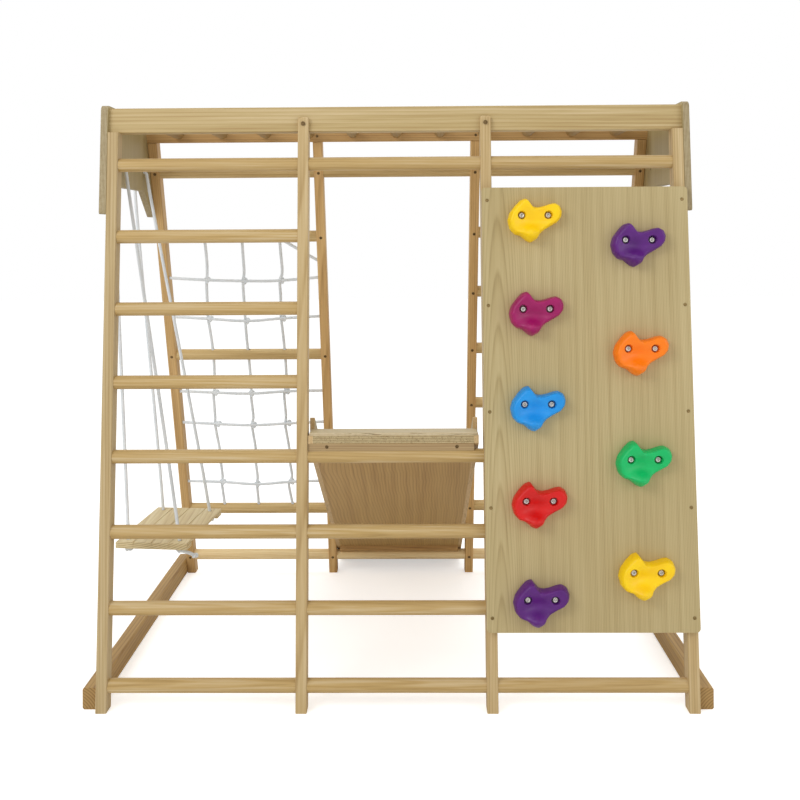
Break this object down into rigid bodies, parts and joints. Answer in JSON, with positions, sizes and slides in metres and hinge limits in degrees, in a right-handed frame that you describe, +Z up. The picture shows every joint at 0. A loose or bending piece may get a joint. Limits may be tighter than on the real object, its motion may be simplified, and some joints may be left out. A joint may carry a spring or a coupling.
{
  "type": "climbing wall playset",
  "caption": "Freestanding wooden climbing playset: leaning ladder frames with a climbing wall panel, slide, swing, rope net and overhead bars.",
  "frame": {"origin": "on the floor under the middle of the overall box", "axes": "+X to the right along the ladder front, +Y from the front ladder towards the slide foot, +Z up"},
  "size_m": [1.576, 1.1618, 1.5339],
  "materials": {
    "pine": "clear matt lacquer",
    "dark_pine": "clear matt lacquer, browner stock",
    "dowel": "clear matt lacquer",
    "plywood": "birch plywood, sanded and lacquered",
    "net_rope": "braided polyester",
    "swing_rope": "braided polyester",
    "zinc_steel": "zinc plated",
    "yellow_hold": "moulded, slightly textured",
    "purple_hold": "moulded, slightly textured",
    "magenta_hold": "moulded, slightly textured",
    "orange_hold": "moulded, slightly textured",
    "blue_hold": "moulded, slightly textured",
    "green_hold": "moulded, slightly textured",
    "red_hold": "moulded, slightly textured"
  },
  "bodies": {
    "frame": {"barrel_nuts": "zinc_steel", "base_rail_left": "dark_pine", "base_rail_right": "dark_pine", "climbing_panel": "plywood", "end_plate_left": "plywood", "end_plate_right": "plywood", "frame_bolts": "zinc_steel", "front_leg_left": "pine", "front_leg_mid_left": "pine", "front_leg_mid_right": "pine", "front_leg_right": "pine", "front_rung_1": "dowel", "front_rung_2": "dowel", "front_rung_3": "dowel", "front_rung_4": "dowel", "front_rung_5": "dowel", "front_rung_6": "dowel", "front_rung_7": "dowel", "front_rung_8": "dowel", "front_top_rail": "pine", "hold_bolts": "zinc_steel", "hold_left_1": "purple_hold", "hold_left_2": "red_hold", "hold_left_3": "blue_hold", "hold_left_4": "magenta_hold", "hold_left_5": "yellow_hold", "hold_right_1": "yellow_hold", "hold_right_2": "green_hold", "hold_right_3": "orange_hold", "hold_right_4": "purple_hold", "hold_tee_nuts": "zinc_steel", "net_ropes_cross": "net_rope", "net_ropes_upright": "net_rope", "net_rung_lower": "dowel", "net_rung_middle": "dowel", "net_rung_upper": "dowel", "overhead_bars": "dowel", "panel_screws": "zinc_steel", "rear_ladder_rungs": "dowel", "rear_leg_left": "dark_pine", "rear_leg_mid_left": "dark_pine", "rear_leg_mid_right": "dark_pine", "rear_leg_right": "dark_pine", "rear_rung_bottom": "dowel", "rear_rung_top": "dowel", "rear_top_rail": "dark_pine", "rung_screws": "zinc_steel"},
    "slide": {"slide_bed": "plywood", "slide_head": "pine", "slide_saddle": "pine", "slide_screws": "zinc_steel", "slide_side_left": "pine", "slide_side_right": "pine", "slide_stop": "pine"},
    "swing": {"swing_slats": "pine", "swing_battens": "pine", "swing_knots": "swing_rope", "swing_rope_front": "swing_rope", "swing_rope_rear": "swing_rope"}
  },
  "joints": [
    {"name": "slide_lift", "type": "hinge", "parent": "frame", "child": "slide", "pos_m": [0, -0.47402, 0.6215], "axis": [1, 0, 0], "range_deg": [0, 25]},
    {"name": "swing_sway", "type": "hinge", "parent": "frame", "child": "swing", "pos_m": [-0.759, -0.1958, 1.37497], "axis": [0, -1, 0], "range_deg": [-35, 15], "deforming": ["swing_rope_front", "swing_rope_rear"]}
  ]
}
